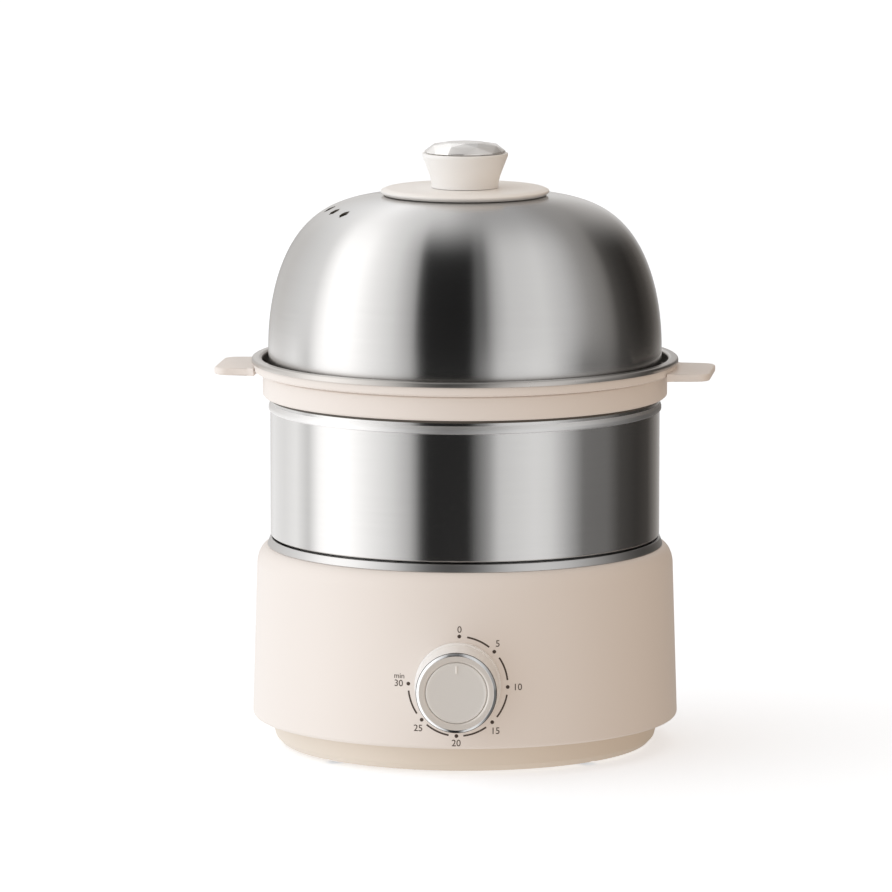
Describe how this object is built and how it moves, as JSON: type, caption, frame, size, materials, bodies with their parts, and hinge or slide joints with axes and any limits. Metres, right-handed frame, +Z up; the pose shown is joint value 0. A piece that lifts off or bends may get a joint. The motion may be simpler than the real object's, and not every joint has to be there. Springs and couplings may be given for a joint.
{
  "type": "egg cooker",
  "caption": "Two-layer electric egg steamer: round heated base with a clockwork timer knob, steel steaming pot with side handles, egg racks and a domed steel lid.",
  "frame": {"origin": "on the vertical axis of the round body, 1.2 mm below the flat underside of the bottom cover, which is the surface that the feet stand on", "axes": "+Z up along the body's axis; -Y towards the timer knob; the pot's two handles lie near +X and -X"},
  "size_m": [0.2112, 0.2018, 0.2553],
  "materials": {
    "cream_plastic": "satin, fine moulded grain",
    "tan_plastic": "satin",
    "grip_plastic": "satin",
    "brushed_steel": "brushed round the body",
    "polished_steel": "fine polish",
    "knob_chrome": "mirror",
    "cap_metal": "faceted, bright",
    "champagne_metal": "spun satin",
    "cast_aluminium": "as cast",
    "zinc_steel": "zinc plated",
    "dark_plastic": "matte",
    "white_silicone": "soft matte",
    "grey_rubber": "matte",
    "brass": "plain",
    "wire_jacket": "smooth"
  },
  "bodies": {
    "base": {"base_housing": "cream_plastic", "bottom_cover": "tan_plastic", "foot_1": "grey_rubber", "foot_2": "grey_rubber", "foot_3": "grey_rubber", "foot_4": "grey_rubber", "cover_screw_1": "zinc_steel", "cover_screw_2": "zinc_steel", "cover_screw_3": "zinc_steel", "cover_screw_4": "zinc_steel", "heating_pan": "polished_steel", "pan_gasket": "white_silicone", "heater_plate": "cast_aluminium", "heating_element": "zinc_steel", "element_pin_1": "brass", "element_pin_2": "brass", "thermostat": "dark_plastic", "thermostat_clip": "zinc_steel", "thermal_fuse": "white_silicone", "heat_shield": "zinc_steel", "pan_bracket": "zinc_steel", "bracket_screw_1": "zinc_steel", "bracket_screw_2": "zinc_steel", "timer_plate": "zinc_steel", "timer_screw_1": "zinc_steel", "timer_screw_2": "zinc_steel", "timer_case": "dark_plastic", "timer_bell": "polished_steel", "knob_seat": "cream_plastic", "terminal_block": "white_silicone", "cord_gland": "dark_plastic", "gland_nut": "dark_plastic", "cord_clamp": "dark_plastic", "clamp_screw_1": "zinc_steel", "clamp_screw_2": "zinc_steel", "lead_1": "wire_jacket", "lead_2": "wire_jacket", "lead_3": "wire_jacket"},
    "timer": {"timer_shaft": "zinc_steel", "timer_drum": "brass", "shaft_clip": "zinc_steel", "knob_body": "cream_plastic", "knob_trim_ring": "knob_chrome", "knob_face": "champagne_metal"},
    "pot": {"pot_wall": "brushed_steel", "handle_ring": "cream_plastic"},
    "lower_tier": {"lower_rack": "polished_steel", "lower_post": "grip_plastic"},
    "upper_tier": {"upper_rack": "polished_steel", "upper_post": "grip_plastic"},
    "lid": {"lid_dome": "brushed_steel", "lid_disc": "cream_plastic", "lid_knob": "cream_plastic", "lid_knob_cap": "cap_metal", "lid_screw": "zinc_steel", "lid_washer": "white_silicone"}
  },
  "joints": [
    {"name": "timer_turn", "type": "hinge", "parent": "base", "child": "timer", "pos_m": [0, 0, 0.0392], "axis": [0, 1, 0], "range_deg": [0, 270]},
    {"name": "pot_lift", "type": "slide", "parent": "base", "child": "pot", "axis": [0, 0, 1], "range_m": [0, 0.1]},
    {"name": "lower_rack_lift", "type": "slide", "parent": "pot", "child": "lower_tier", "axis": [0, 0, 1], "range_m": [0, 0.11]},
    {"name": "upper_rack_lift", "type": "slide", "parent": "lower_tier", "child": "upper_tier", "axis": [0, 0, 1], "range_m": [0, 0.09]},
    {"name": "lid_lift", "type": "slide", "parent": "upper_tier", "child": "lid", "axis": [0, 0, 1], "range_m": [0, 0.11]}
  ]
}
